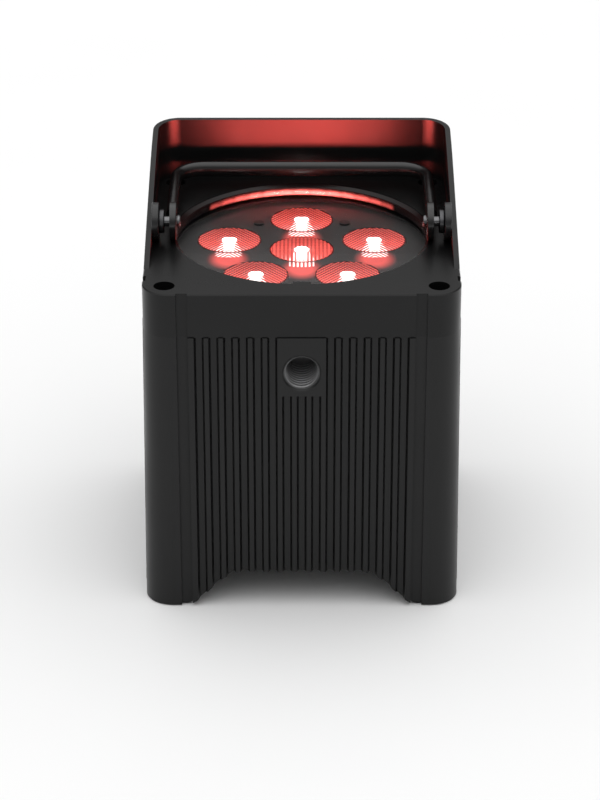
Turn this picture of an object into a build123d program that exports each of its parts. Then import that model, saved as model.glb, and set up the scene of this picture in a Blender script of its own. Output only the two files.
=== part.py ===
from build123d import *
import os
from math import sin, cos, tan, radians, hypot, atan2

os.makedirs("parts", exist_ok=True)

# ---------------------------------------------------------------- dimensions
# Frame: X to the right, -Y is the front, Z up.  Origin: centre of the
# footprint on the surface the light stands on.  All values in millimetres.
W = 150.0                 # width and depth of the top frame
HALF = W / 2
H = 166.7                 # height of the top face
Z_SEAM = 144.7            # joint between housing and top frame
Z_LIP = 138.7             # underside of the lip round the top of the housing
Z_FOOT = 0.6              # underside of the metal feet (pads reach z = 0)
CORNER_R = 13.5           # plan radius of the corners
BASE_HALF = 76.79         # half width of the housing at its foot (drafted)
HOOD_RISE = 31.2          # height of the glare hood at the back
HOOD_START = -45.0        # y where the hood leaves the top face
# side profile of the hood's edge: y, height above the top face
HOOD_EDGE = [(-45, 0.0), (-30, 5.2), (-15, 10.0), (0, 14.7), (15, 19.3), (30, 23.6), (45, 27.2), (60, 29.7), (75, 31.2)]
HOOD_T = 2.6              # hood wall
CAV = 71.3                # half width of the inside of the housing

RIB_PITCH = 6.9
RIB_OUT = 0.7             # rib faces stand proud of the corner pads
GAP_IN = 1.4              # gap floors lie below the corner pads
SLOT_IN, SLOT_OUT, SLOT_DEPTH = 53.4, 58.8, 1.7
DRAFT = atan2(BASE_HALF - HALF, Z_SEAM - Z_FOOT)

OPEN_R = 61.2             # light opening
GLASS_R, GLASS_T = 67.0, 3.0
Z_GLASS = H - 6.0         # top of the cover glass
Z_PLATE = H - 10.2        # top of the lens plate
LENS_R, LENS_PITCH = 15.8, 37.6
Z_HEAT = 134.1            # top of the heat sink base

THREAD_Z = 126.7          # accessory thread in the front, M18 x 2.5
THREAD_R = 7.65
THREAD_OD = 23.0          # outside of the insert behind the wall

PIV_Y, PIV_Z = -9.7, H + 9.6   # handle pivot axis (parallel to X)
BAR_Y = 59.5                    # cross bar of the handle at rest
EYE_R = 9.35

Z_BASE = 46.0             # underside of the base panel
BASE_T = 3.0
PANEL_Z = 87.0            # middle of the control panel on the back

CORNERS = [(64.4, 64.7), (-64.4, 64.7), (-64.4, -64.7), (64.4, -64.7)]
FEET = [(66, 66), (-66, 66), (-66, -66), (66, -66)]


def face_plane(angle, drop=0.0):
    """Plane across a drafted side face. Local x runs along the side, local y
    points outward and the plane normal runs down the face."""
    a = radians(angle)
    out = Vector(sin(a), -cos(a), 0)
    down = Vector(out.X * sin(DRAFT), out.Y * sin(DRAFT), -cos(DRAFT))
    o = out * HALF + Vector(0, 0, Z_SEAM) + down * drop
    return Plane(origin=o, x_dir=Vector(cos(a), sin(a), 0), z_dir=down)


GAPS = [i * RIB_PITCH for i in range(-7, 8)]
FALL = (Z_SEAM - Z_FOOT) / cos(DRAFT)

# ------------------------------------------------------------------- housing
with BuildPart() as housing:
    # drafted outer body
    with BuildSketch(Plane.XY.offset(Z_FOOT)):
        RectangleRounded(2 * BASE_HALF, 2 * BASE_HALF, CORNER_R)
    with BuildSketch(Plane.XY.offset(Z_SEAM)):
        RectangleRounded(W, W, CORNER_R)
    loft()
    # raised field that carries the ribs, one on each side
    for a in (0, 90, 180, 270):
        with BuildSketch(face_plane(a)):
            with Locations((0, (RIB_OUT - 3) / 2)):
                Rectangle(2 * 53.4, RIB_OUT + 3)
        extrude(amount=FALL)
    # gaps between the ribs; the front keeps a flat plate round the thread and
    # the back keeps one round the control panel
    for a in (0, 90, 180, 270):
        if a == 0:
            runs = [([g for g in GAPS if abs(g) > 7], 0.0, FALL), ([g for g in GAPS if abs(g) < 7], 30.2, FALL)]
        elif a == 180:
            runs = [([g for g in GAPS if abs(g) > 28], 0.0, FALL),
                    ([g for g in GAPS if abs(g) < 28], 0.0, 30.7),
                    ([g for g in GAPS if abs(g) < 28], 84.7, FALL)]
        else:
            runs = [(GAPS, 0.0, FALL)]
        for gaps, start, stop in runs:
            with BuildSketch(face_plane(a, start - (1.0 if start == 0 else 0.0))):
                for g in gaps:
                    with BuildLine():
                        Polyline((g - 1.38, -GAP_IN), (g + 1.38, -GAP_IN), (g + 2.60, 1.2), (g - 2.60, 1.2), close=True)
                    make_face()
            extrude(amount=stop - start + 2.0, mode=Mode.SUBTRACT)
        with BuildSketch(face_plane(a, -1.0)):
            with Locations(((SLOT_IN + SLOT_OUT) / 2, 0), (-(SLOT_IN + SLOT_OUT) / 2, 0)):
                Rectangle(SLOT_OUT - SLOT_IN, 2 * SLOT_DEPTH)
        extrude(amount=FALL + 2.0, mode=Mode.SUBTRACT)
    # inside
    with BuildSketch(Plane.XY.offset(-2)):
        RectangleRounded(2 * CAV, 2 * CAV, 9.5)
    extrude(amount=Z_LIP + 2, mode=Mode.SUBTRACT)
    with BuildSketch(Plane.XY.offset(138)):
        RectangleRounded(134, 134, 9)
    extrude(amount=10, mode=Mode.SUBTRACT)
    # lugs in the top corners that the frame screws pass through
    with BuildSketch(Plane.XY.offset(Z_LIP)):
        with Locations(*CORNERS):
            Circle(7)
    extrude(amount=Z_SEAM - Z_LIP)
    with BuildSketch(Plane.XY.offset(Z_SEAM)):
        with Locations(*CORNERS):
            Circle(2.75)
    extrude(amount=-20, mode=Mode.SUBTRACT)
    # groove for the frame gasket
    with BuildSketch(Plane.XY.offset(Z_SEAM)):
        RectangleRounded(141.2, 141.2, 11)
        RectangleRounded(136.2, 136.2, 9, mode=Mode.SUBTRACT)
        with Locations(*CORNERS):
            Circle(4.2, mode=Mode.SUBTRACT)
    extrude(amount=-1.6, mode=Mode.SUBTRACT)
    # seat and hole for the accessory thread
    with BuildSketch(Plane.XZ.offset(49)):
        with Locations((0, THREAD_Z)):
            Circle(THREAD_OD / 2 + 0.02)
    extrude(amount=24.5, mode=Mode.SUBTRACT)
    with BuildSketch(Plane.XZ.offset(73)):
        with Locations((0, THREAD_Z)):
            Circle(8.6)
    extrude(amount=6, mode=Mode.SUBTRACT)
    with BuildSketch(Plane.YZ):
        with BuildLine():
            Polyline((-75.2, THREAD_Z), (-75.2, THREAD_Z + 8.6), (-76.3, THREAD_Z + 9.7), (-77.3, THREAD_Z + 9.7),
                     (-77.3, THREAD_Z), close=True)
        make_face()
    revolve(axis=Axis((0, 0, THREAD_Z), (0, 1, 0)), mode=Mode.SUBTRACT)
    # control panel recess and opening in the back
    with BuildSketch(Plane.XZ.offset(-74.2)):
        with Locations((0, PANEL_Z)):
            RectangleRounded(62.4, 50.4, 3.2)
    extrude(amount=-6, mode=Mode.SUBTRACT)
    with BuildSketch(Plane.XZ.offset(-66)):
        with Locations((0, PANEL_Z)):
            RectangleRounded(52, 38, 2)
    extrude(amount=-12, mode=Mode.SUBTRACT)
    with BuildSketch(Plane.XZ.offset(-70)):
        with Locations((28.3, PANEL_Z + 22), (-28.3, PANEL_Z + 22), (28.3, PANEL_Z - 22), (-28.3, PANEL_Z - 22)):
            Circle(1.15)
    extrude(amount=-6, mode=Mode.SUBTRACT)
    # the foot pads reach a little under the walls
    with BuildSketch(Plane.XY.offset(-1)):
        with Locations(*FEET):
            Circle(6.5)
    extrude(amount=3.0, mode=Mode.SUBTRACT)
    # arches between the feet, an ogee on each side
    for pl in (Plane.XZ, Plane.YZ):
        with BuildSketch(pl.offset(-90)):
            with BuildLine():
                s1 = Spline([(-57.7, 0.5), (-54.5, 1.2), (-51.5, 3.0), (-48.5, 5.7), (-45, 9.2), (-41.5, 12.8),
                             (-38, 15.9), (-34.5, 18.1), (-29.7, 19.4)], tangents=[(1, 0.05), (1, 0)])
                Line((-29.7, 19.4), (29.7, 19.4))
                s2 = Spline([(29.7, 19.4), (34.5, 18.1), (38, 15.9), (41.5, 12.8), (45, 9.2), (48.5, 5.7), (51.5, 3.0),
                             (54.5, 1.2), (57.7, 0.5)], tangents=[(1, 0), (1, -0.05)])
                Polyline((57.7, 0.5), (57.7, -6), (-57.7, -6), (-57.7, 0.5))
            make_face()
        extrude(amount=180, mode=Mode.SUBTRACT)
    # flat underside
    with BuildSketch(Plane.XY.offset(Z_FOOT)):
        Rectangle(200, 200)
    extrude(amount=-12, mode=Mode.SUBTRACT)
housing.part.label = "housing"
export_step(housing.part, "parts/housing.step")

# --------------------------------------------------------------- inner frame
with BuildPart() as inner_frame:
    # ring that the base panel is screwed to
    with BuildSketch(Plane.XY.offset(49.8)):
        RectangleRounded(2 * CAV - 0.1, 2 * CAV - 0.1, 9.45)
        RectangleRounded(125, 125, 8, mode=Mode.SUBTRACT)
    extrude(amount=7.2)
    # pillars that the frame screws bite into
    with BuildSketch(Plane.XY.offset(56)):
        with Locations(*CORNERS):
            Circle(7)
        RectangleRounded(2 * CAV - 0.1, 2 * CAV - 0.1, 9.45, mode=Mode.INTERSECT)
    extrude(amount=Z_LIP - 56)
    with BuildSketch(Plane.XY.offset(Z_LIP)):
        with Locations(*CORNERS):
            Circle(2.55)
    extrude(amount=-14, mode=Mode.SUBTRACT)
    # blind holes for the base screws
    with BuildSketch(Plane.XY.offset(49.0)):
        for s in (-66.5, 66.5):
            for t in (-30, 30):
                with Locations((s, t), (t, s)):
                    Circle(1.75)
    extrude(amount=7.0, mode=Mode.SUBTRACT)
inner_frame.part.label = "inner_frame"
export_step(inner_frame.part, "parts/inner_frame.step")

# blocks inside the bottom corners, with a pocket for each foot pad
with BuildPart() as foot_blocks:
    with BuildSketch(Plane.XY.offset(Z_FOOT)):
        with Locations(*FEET):
            Circle(8.2)
        RectangleRounded(2 * CAV - 0.1, 2 * CAV - 0.1, 9.45, mode=Mode.INTERSECT)
    extrude(amount=14)
    with BuildSketch(Plane.XY.offset(-1)):
        with Locations(*FEET):
            Circle(6.5)
    extrude(amount=3.0, mode=Mode.SUBTRACT)
foot_blocks.part.label = "foot_blocks"
export_step(foot_blocks.part, "parts/foot_blocks.step")

# ----------------------------------------------------------------- top frame
with BuildPart() as top_frame:
    with BuildSketch(Plane.XY.offset(Z_SEAM)):
        RectangleRounded(W, W, CORNER_R)
    extrude(amount=H - Z_SEAM)
    # soft edge along the front and round its two corners
    rim = [e for e in top_frame.edges().group_by(Axis.Z)[-1] if e.center().Y < -60]
    chamfer(rim, 0.55)
    # glare hood on the left, back and right
    with BuildSketch(Plane.XY.offset(H)):
        RectangleRounded(W, W, CORNER_R)
        RectangleRounded(W - 2 * HOOD_T, W - 2 * HOOD_T, CORNER_R - HOOD_T, mode=Mode.SUBTRACT)
        with Locations((0, (-HALF + HOOD_START) / 2 - 10)):
            Rectangle(170, HALF + HOOD_START + 20, mode=Mode.SUBTRACT)
    extrude(amount=HOOD_RISE + 2)
    with BuildSketch(Plane.YZ.offset(-90)):
        with BuildLine():
            Spline([(y, H + z) for y, z in HOOD_EDGE])
            Polyline((HALF, H + HOOD_RISE), (HALF + 6, H + HOOD_RISE), (HALF + 6, H + 60), (HOOD_START - 40, H + 60),
                     (HOOD_START - 40, H), (HOOD_START, H))
        make_face()
    extrude(amount=180, mode=Mode.SUBTRACT)
    # light opening and seat for the glass
    with BuildSketch(Plane.XY.offset(H + 1)):
        Circle(OPEN_R)
    extrude(amount=-30, mode=Mode.SUBTRACT)
    with BuildSketch(Plane.XY.offset(H - 5.5)):
        Circle(GLASS_R + 0.4)
    extrude(amount=-20, mode=Mode.SUBTRACT)
    chamfer(top_frame.edges().filter_by(GeomType.CIRCLE).filter_by(lambda e: abs(e.radius - OPEN_R) < 0.01).sort_by(Axis.Z)[-1], 1.45)
    # small straight tab at the front of the opening
    with BuildSketch(Plane.XY.offset(H)):
        with Locations((0, -61.4)):
            Rectangle(8.6, 3.4)
    extrude(amount=-5.5)
    # counterbored holes for the frame screws
    with BuildSketch(Plane.XY.offset(H)):
        with Locations(*CORNERS):
            Circle(5)
    extrude(amount=-14, mode=Mode.SUBTRACT)
    with BuildSketch(Plane.XY.offset(H)):
        with Locations(*CORNERS):
            Circle(2.75)
    extrude(amount=-30, mode=Mode.SUBTRACT)
    # slots carried on from the housing
    for a in (0, 90, 180, 270):
        r = radians(a)
        out = Vector(sin(r), -cos(r), 0)
        pl = Plane(origin=out * HALF + Vector(0, 0, Z_SEAM - 1), x_dir=Vector(cos(r), sin(r), 0), z_dir=Vector(0, 0, 1))
        with BuildSketch(pl):
            with Locations(((SLOT_IN + SLOT_OUT) / 2, 0), (-(SLOT_IN + SLOT_OUT) / 2, 0)):
                Rectangle(SLOT_OUT - SLOT_IN, 3.0)
        extrude(amount=H - Z_SEAM + 2 if a == 0 else H - Z_SEAM + 1, mode=Mode.SUBTRACT)
    # threaded holes under the frame for the heat sink posts
    with BuildSketch(Plane.XY.offset(Z_SEAM)):
        with Locations((51.6, 51.6), (-51.6, 51.6), (-51.6, -51.6), (51.6, -51.6)):
            Circle(2.05)
    extrude(amount=10, mode=Mode.SUBTRACT)
    # blind tapped holes in the hood for the pivot screws
    for s in (-1, 1):
        with BuildSketch(Plane.YZ.offset(s * 71)):
            with Locations((PIV_Y, PIV_Z)):
                Circle(1.55)
        extrude(amount=s * 3.0, mode=Mode.SUBTRACT)
top_frame.part.label = "top_frame"
export_step(top_frame.part, "parts/top_frame.step")

# -------------------------------------------------------------- carry handle
with BuildPart() as carry_handle:
    with BuildLine():
        pts = [(-63.3, PIV_Y + 7.6, PIV_Z), (-63.3, BAR_Y, PIV_Z), (63.3, BAR_Y, PIV_Z), (63.3, PIV_Y + 7.6, PIV_Z)]
        path = FilletPolyline(*pts, radius=14.2)
    with BuildSketch(Plane(origin=pts[0], x_dir=(1, 0, 0), z_dir=(0, 1, 0))):
        Ellipse(2.8, 3.75)
    sweep(path=path)
    for s in (-1, 1):
        with BuildSketch(Plane.YZ.offset(s * 60.4)):
            with Locations((PIV_Y, PIV_Z)):
                Circle(EYE_R)
        extrude(amount=s * 3.3)
    eye_rims = carry_handle.edges().filter_by(GeomType.CIRCLE).filter_by(
        lambda e: abs(e.radius - EYE_R) < 0.01 and abs(abs(e.center().X) - 60.4) < 0.02)
    fillet(eye_rims, 0.7)
    for s in (-1, 1):
        with BuildSketch(Plane.YZ.offset(s * 58)):
            with Locations((PIV_Y, PIV_Z)):
                Circle(2.56)
        extrude(amount=s * 8, mode=Mode.SUBTRACT)
carry_handle.part.label = "carry_handle"
export_step(carry_handle.part, "parts/carry_handle.step")

# ------------------------------------------------- hinge stack, left and right
def hinge_ring(s, x0, x1, r):
    with BuildSketch(Plane.YZ.offset(s * x0)) as face:
        with Locations((PIV_Y, PIV_Z)):
            Circle(r)
            Circle(2.5, mode=Mode.SUBTRACT)
    extrude(face.sketch, amount=s * (x1 - x0))


with BuildPart() as handle_friction_pads:
    for s in (-1, 1):
        hinge_ring(s, 69.0, 72.4, EYE_R)
    fillet(handle_friction_pads.edges().filter_by(GeomType.CIRCLE).filter_by(lambda e: abs(e.radius - EYE_R) < 0.01), 0.5)
handle_friction_pads.part.label = "handle_friction_pads"
export_step(handle_friction_pads.part, "parts/handle_friction_pads.step")

with BuildPart() as handle_lock_nuts:
    for s in (-1, 1):
        hinge_ring(s, 66.5, 69.0, 5.7)
    fillet(handle_lock_nuts.edges().filter_by(GeomType.CIRCLE).filter_by(lambda e: abs(e.radius - 5.7) < 0.01), 0.5)
handle_lock_nuts.part.label = "handle_lock_nuts"
export_step(handle_lock_nuts.part, "parts/handle_lock_nuts.step")

with BuildPart() as handle_pivot_screws:
    for s in (-1, 1):
        with BuildSketch(Plane.YZ.offset(s * 60.05)):
            with Locations((PIV_Y, PIV_Z)):
                Circle(2.5)
        extrude(amount=s * 12.35)
        with BuildSketch(Plane.YZ.offset(s * 72.4)):
            with Locations((PIV_Y, PIV_Z)):
                Circle(1.5)
        extrude(amount=s * 1.5)
        with BuildSketch(Plane.YZ.offset(s * 60.08)):
            with Locations((PIV_Y, PIV_Z)):
                Circle(3.1)
        extrude(amount=-s * 1.5)
    heads = handle_pivot_screws.edges().filter_by(GeomType.CIRCLE).filter_by(
        lambda e: abs(e.radius - 3.1) < 0.01 and abs(abs(e.center().X) - 58.58) < 0.05)
    fillet(heads, 1.1)
handle_pivot_screws.part.label = "handle_pivot_screws"
export_step(handle_pivot_screws.part, "parts/handle_pivot_screws.step")

# ------------------------------------------------------------- thread insert
with BuildPart() as thread_insert:
    with BuildSketch(Plane.XZ.offset(49.4)):
        with Locations((0, THREAD_Z)):
            Circle(THREAD_OD / 2)
    extrude(amount=24.05)
    with BuildSketch(Plane.XZ.offset(73)):
        with Locations((0, THREAD_Z)):
            Circle(8.55)
    extrude(amount=2.2)
    # blind hole, countersunk at the mouth
    with BuildSketch(Plane.XZ.offset(50.5)):
        with Locations((0, THREAD_Z)):
            Circle(THREAD_R)
    extrude(amount=30, mode=Mode.SUBTRACT)
    chamfer(thread_insert.edges().filter_by(GeomType.CIRCLE).filter_by(lambda e: abs(e.radius - THREAD_R) < 0.01).sort_by(Axis.Y)[0], 0.75)
thread_insert.part.label = "thread_insert"
export_step(thread_insert.part, "parts/thread_insert.step")

# ------------------------------------------------------ glass, gasket, spacer
def ring(z0, z1, ro, ri):
    with BuildSketch(Plane.XY.offset(z0)) as face:
        Circle(ro)
        if ri:
            Circle(ri, mode=Mode.SUBTRACT)
    extrude(face.sketch, amount=z1 - z0)


with BuildPart() as cover_glass:
    ring(Z_GLASS - GLASS_T, Z_GLASS, GLASS_R, 0)
    chamfer(cover_glass.edges().filter_by(GeomType.CIRCLE), 0.4)
cover_glass.part.label = "cover_glass"
export_step(cover_glass.part, "parts/cover_glass.step")

with BuildPart() as glass_gasket:
    ring(Z_GLASS, H - 5.5, GLASS_R, OPEN_R + 0.7)
glass_gasket.part.label = "glass_gasket"
export_step(glass_gasket.part, "parts/glass_gasket.step")

with BuildPart() as glass_spacer_ring:
    ring(Z_PLATE, Z_GLASS - GLASS_T, GLASS_R, OPEN_R + 0.9)
glass_spacer_ring.part.label = "glass_spacer_ring"
export_step(glass_spacer_ring.part, "parts/glass_spacer_ring.step")

# ---------------------------------------------------------------- lens plate
LENS_XY = {"centre": (0.0, 0.0)}
for name, ang in (("back", 90), ("left_rear", 162), ("left_front", 234), ("right_front", 306), ("right_rear", 18)):
    LENS_XY[name] = (LENS_PITCH * cos(radians(ang)), LENS_PITCH * sin(radians(ang)))
PLATE_SCREWS = [(21.5, 32.3), (-21.5, 32.3), (-38.5, -43.4), (38.5, -43.4)]

with BuildPart() as lens_plate:
    with BuildSketch(Plane.XY.offset(Z_PLATE - 1.5)):
        Circle(GLASS_R)
        with Locations(*LENS_XY.values()):
            Circle(LENS_R + 0.15, mode=Mode.SUBTRACT)
        with Locations(*PLATE_SCREWS):
            Circle(1.6, mode=Mode.SUBTRACT)
    extrude(amount=1.5)
lens_plate.part.label = "lens_plate"
export_step(lens_plate.part, "parts/lens_plate.step")

with BuildPart() as lens_plate_screws:
    with BuildSketch(Plane.XY.offset(Z_PLATE)):
        with Locations(*PLATE_SCREWS):
            Circle(2.7)
    extrude(amount=0.9)
    with BuildSketch(Plane.XY.offset(Z_PLATE)):
        with Locations(*PLATE_SCREWS):
            Circle(1.5)
    extrude(amount=-8)
lens_plate_screws.part.label = "lens_plate_screws"
export_step(lens_plate_screws.part, "parts/lens_plate_screws.step")

with BuildPart() as lens_plate_standoffs:
    with BuildSketch(Plane.XY.offset(Z_HEAT)):
        with Locations(*PLATE_SCREWS):
            RegularPolygon(3.2, 6)
    extrude(amount=Z_PLATE - 1.5 - Z_HEAT)
    with BuildSketch(Plane.XY.offset(Z_PLATE - 1.5)):
        with Locations(*PLATE_SCREWS):
            Circle(1.55)
    extrude(amount=-8, mode=Mode.SUBTRACT)
lens_plate_standoffs.part.label = "lens_plate_standoffs"
export_step(lens_plate_standoffs.part, "parts/lens_plate_standoffs.step")

# -------------------------------------------------------------------- lenses
Z_LB = 137.0              # lower end of each lens
Z_LT = Z_PLATE + 0.2      # rim of the lens face


def lens_at(x, y):
    with BuildPart() as lens:
        with BuildSketch(Plane.XZ.offset(-y)):
            with BuildLine():
                Polyline((x, Z_LB + 5), (x + 3.6, Z_LB + 5), (x + 3.9, Z_LB), (x + 5.5, Z_LB))
                Spline([(x + 5.5, Z_LB), (x + 9.2, Z_LB + 5.4), (x + 12.4, Z_LB + 10.8), (x + 14.8, Z_LB + 16.2)])
                Polyline((x + 14.8, Z_LB + 16.2), (x + 14.9, Z_LB + 16.8), (x + LENS_R, Z_LB + 16.8), (x + LENS_R, Z_LT))
                Line((x + LENS_R, Z_LT), (x, Z_LT))
                Line((x, Z_LT), (x, Z_LB + 5))
            make_face()
        revolve(axis=Axis((x, y, 0), (0, 0, 1)))
    return lens


lens_centre = lens_at(*LENS_XY["centre"])
lens_centre.part.label = "lens_centre"
export_step(lens_centre.part, "parts/lens_centre.step")
lens_back = lens_at(*LENS_XY["back"])
lens_back.part.label = "lens_back"
export_step(lens_back.part, "parts/lens_back.step")
lens_left_rear = lens_at(*LENS_XY["left_rear"])
lens_left_rear.part.label = "lens_left_rear"
export_step(lens_left_rear.part, "parts/lens_left_rear.step")
lens_left_front = lens_at(*LENS_XY["left_front"])
lens_left_front.part.label = "lens_left_front"
export_step(lens_left_front.part, "parts/lens_left_front.step")
lens_right_front = lens_at(*LENS_XY["right_front"])
lens_right_front.part.label = "lens_right_front"
export_step(lens_right_front.part, "parts/lens_right_front.step")
lens_right_rear = lens_at(*LENS_XY["right_rear"])
lens_right_rear.part.label = "lens_right_rear"
export_step(lens_right_rear.part, "parts/lens_right_rear.step")

# holders: one cup under each lens, standing on the LED board
Z_BOARD = Z_HEAT + 0.4
with BuildPart() as lens_holders:
    for x, y in LENS_XY.values():
        with BuildSketch(Plane.XZ.offset(-y)):
            with BuildLine():
                Polyline((x + 9.2, Z_BOARD + 1.6), (x + 10.5, Z_BOARD + 1.6), (x + 10.5, Z_BOARD + 3.6),
                         (x + 17.3, Z_BOARD + 17.6), (x + 17.3, Z_PLATE - 1.5), (x + 16.1, Z_PLATE - 1.5),
                         (x + 16.1, Z_LB + 16.8), (x + 15.3, Z_LB + 16.8), (x + 15.3, Z_LB + 15.2),
                         (x + 9.2, Z_BOARD + 4.2), close=True)
            make_face()
        revolve(axis=Axis((x, y, 0), (0, 0, 1)))
lens_holders.part.label = "lens_holders"
export_step(lens_holders.part, "parts/lens_holders.step")

with BuildPart() as led_board:
    with BuildSketch(Plane.XY.offset(Z_BOARD)):
        Circle(50)
        with Locations((0, -53.5)):
            Rectangle(40, 10, mode=Mode.SUBTRACT)
        with Locations(*PLATE_SCREWS[:2]):
            Circle(3.6, mode=Mode.SUBTRACT)
    extrude(amount=1.6)
led_board.part.label = "led_board"
export_step(led_board.part, "parts/led_board.step")

with BuildPart() as led_emitters:
    for x, y in LENS_XY.values():
        with BuildSketch(Plane.XY.offset(Z_BOARD + 1.6)):
            with Locations((x, y)):
                Rectangle(7, 7)
        extrude(amount=0.8)
        with Locations((x, y, Z_BOARD + 2.4)):
            Sphere(2.5, arc_size1=0, align=(Align.CENTER, Align.CENTER, Align.MIN))
led_emitters.part.label = "led_emitters"
export_step(led_emitters.part, "parts/led_emitters.step")

with BuildPart() as thermal_pad:
    with BuildSketch(Plane.XY.offset(Z_HEAT)):
        Circle(49)
        with Locations((0, -52.5)):
            Rectangle(40, 10, mode=Mode.SUBTRACT)
        with Locations(*PLATE_SCREWS[:2]):
            Circle(3.6, mode=Mode.SUBTRACT)
    extrude(amount=0.4)
thermal_pad.part.label = "thermal_pad"
export_step(thermal_pad.part, "parts/thermal_pad.step")

# ----------------------------------------------------------------- heat sink
POSTS = [(51.6, 51.6), (-51.6, 51.6), (-51.6, -51.6), (51.6, -51.6)]
with BuildPart() as heat_sink:
    with BuildSketch(Plane.XY.offset(Z_HEAT)):
        RectangleRounded(120, 120, 12)
        with Locations((0, -60)):
            Rectangle(34, 22, mode=Mode.SUBTRACT)
        with Locations(*POSTS):
            Circle(2.2, mode=Mode.SUBTRACT)
    extrude(amount=-6)
    with BuildSketch(Plane.XY.offset(Z_HEAT - 6)):
        with Locations((0, 5)):
            with GridLocations(8.5, 0, 11, 1):
                Rectangle(2.2, 104)
    extrude(amount=-28)
heat_sink.part.label = "heat_sink"
export_step(heat_sink.part, "parts/heat_sink.step")

with BuildPart() as heat_sink_posts:
    with BuildSketch(Plane.XY.offset(Z_HEAT)):
        with Locations(*POSTS):
            Circle(4)
            Circle(2.15, mode=Mode.SUBTRACT)
    extrude(amount=Z_SEAM - Z_HEAT)
heat_sink_posts.part.label = "heat_sink_posts"
export_step(heat_sink_posts.part, "parts/heat_sink_posts.step")

with BuildPart() as heat_sink_screws:
    with BuildSketch(Plane.XY.offset(Z_HEAT - 6)):
        with Locations(*POSTS):
            Circle(3.5)
    extrude(amount=-3.2)
    with BuildSketch(Plane.XY.offset(Z_HEAT - 6)):
        with Locations(*POSTS):
            Circle(2.0)
    extrude(amount=25)
heat_sink_screws.part.label = "heat_sink_screws"
export_step(heat_sink_screws.part, "parts/heat_sink_screws.step")

# ----------------------------------------------- frame gasket, frame screws
with BuildPart() as frame_gasket:
    with BuildSketch(Plane.XY.offset(Z_SEAM - 1.6)):
        RectangleRounded(140.8, 140.8, 10.8)
        RectangleRounded(136.6, 136.6, 9.2, mode=Mode.SUBTRACT)
        with Locations(*CORNERS):
            Circle(4.5, mode=Mode.SUBTRACT)
    extrude(amount=1.6)
frame_gasket.part.label = "frame_gasket"
export_step(frame_gasket.part, "parts/frame_gasket.step")

with BuildPart() as frame_screws:
    with BuildSketch(Plane.XY.offset(H - 14)):
        with Locations(*CORNERS):
            Circle(4.2)
    extrude(amount=5)
    with BuildSketch(Plane.XY.offset(H - 14)):
        with Locations(*CORNERS):
            Circle(2.5)
    extrude(amount=-25)
    with BuildSketch(Plane.XY.offset(H - 9)):
        with Locations(*CORNERS):
            RegularPolygon(2.3, 6)
    extrude(amount=-2.6, mode=Mode.SUBTRACT)
    chamfer(frame_screws.edges().filter_by(GeomType.CIRCLE).filter_by(lambda e: abs(e.radius - 4.2) < 0.01).group_by(Axis.Z)[-1], 0.4)
frame_screws.part.label = "frame_screws"
export_step(frame_screws.part, "parts/frame_screws.step")

# ---------------------------------------------------------------- base panel
BASE_SCREWS = [(s * 66.5, t) for s in (-1, 1) for t in (-30, 30)] + [(t, s * 66.5) for s in (-1, 1) for t in (-30, 30)]
INLET, DMX_IN, DMX_OUT, SWITCH = (-38, 28), (-8, 28), (20, 28), (46, 28)
VENT, ANT = (52, -30), (-52, -30)
with BuildPart() as base_panel:
    with BuildSketch(Plane.XY.offset(Z_BASE)):
        RectangleRounded(2 * CAV - 0.8, 2 * CAV - 0.8, 9.1)
        with Locations(*BASE_SCREWS):
            Circle(1.8, mode=Mode.SUBTRACT)
        with Locations(INLET, DMX_IN, DMX_OUT):
            Circle(12.1, mode=Mode.SUBTRACT)
        with Locations(SWITCH):
            Rectangle(13.2, 19.4, mode=Mode.SUBTRACT)
        with Locations(VENT):
            Circle(6.1, mode=Mode.SUBTRACT)
        with Locations(ANT):
            Circle(3.3, mode=Mode.SUBTRACT)
    extrude(amount=BASE_T)
base_panel.part.label = "base_panel"
export_step(base_panel.part, "parts/base_panel.step")

with BuildPart() as base_gasket:
    with BuildSketch(Plane.XY.offset(Z_BASE + BASE_T)):
        RectangleRounded(2 * CAV - 0.8, 2 * CAV - 0.8, 9.1)
        RectangleRounded(126, 126, 8, mode=Mode.SUBTRACT)
        with Locations(*BASE_SCREWS):
            Circle(1.9, mode=Mode.SUBTRACT)
    extrude(amount=0.8)
base_gasket.part.label = "base_gasket"
export_step(base_gasket.part, "parts/base_gasket.step")

with BuildPart() as base_screws:
    with BuildSketch(Plane.XY.offset(Z_BASE)):
        with Locations(*BASE_SCREWS):
            Circle(3.0)
    extrude(amount=-1.8)
    with BuildSketch(Plane.XY.offset(Z_BASE)):
        with Locations(*BASE_SCREWS):
            Circle(1.7)
    extrude(amount=9.5)
base_screws.part.label = "base_screws"
export_step(base_screws.part, "parts/base_screws.step")

with BuildPart() as foot_pads:
    with BuildSketch(Plane.XY):
        with Locations((66, 66), (-66, 66), (-66, -66), (66, -66)):
            Circle(6.4)
    extrude(amount=2.0)
    chamfer(foot_pads.edges().group_by(Axis.Z)[0], 0.3)
foot_pads.part.label = "foot_pads"
export_step(foot_pads.part, "parts/foot_pads.step")

with BuildPart() as vent_plug:
    with BuildSketch(Plane.XY.offset(Z_BASE)):
        with Locations(VENT):
            Circle(8)
    extrude(amount=-2.4)
    with BuildSketch(Plane.XY.offset(Z_BASE)):
        with Locations(VENT):
            Circle(6)
    extrude(amount=8)
    chamfer(vent_plug.edges().group_by(Axis.Z)[0], 0.6)
vent_plug.part.label = "vent_plug"
export_step(vent_plug.part, "parts/vent_plug.step")

with BuildPart() as radio_antenna:
    with BuildSketch(Plane.XY.offset(Z_BASE)):
        with Locations(ANT):
            Circle(5)
    extrude(amount=-18)
    with BuildSketch(Plane.XY.offset(Z_BASE)):
        with Locations(ANT):
            Circle(3.2)
    extrude(amount=7)
    fillet(radio_antenna.edges().group_by(Axis.Z)[0], 1.5)
radio_antenna.part.label = "radio_antenna"
export_step(radio_antenna.part, "parts/radio_antenna.step")

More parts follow.
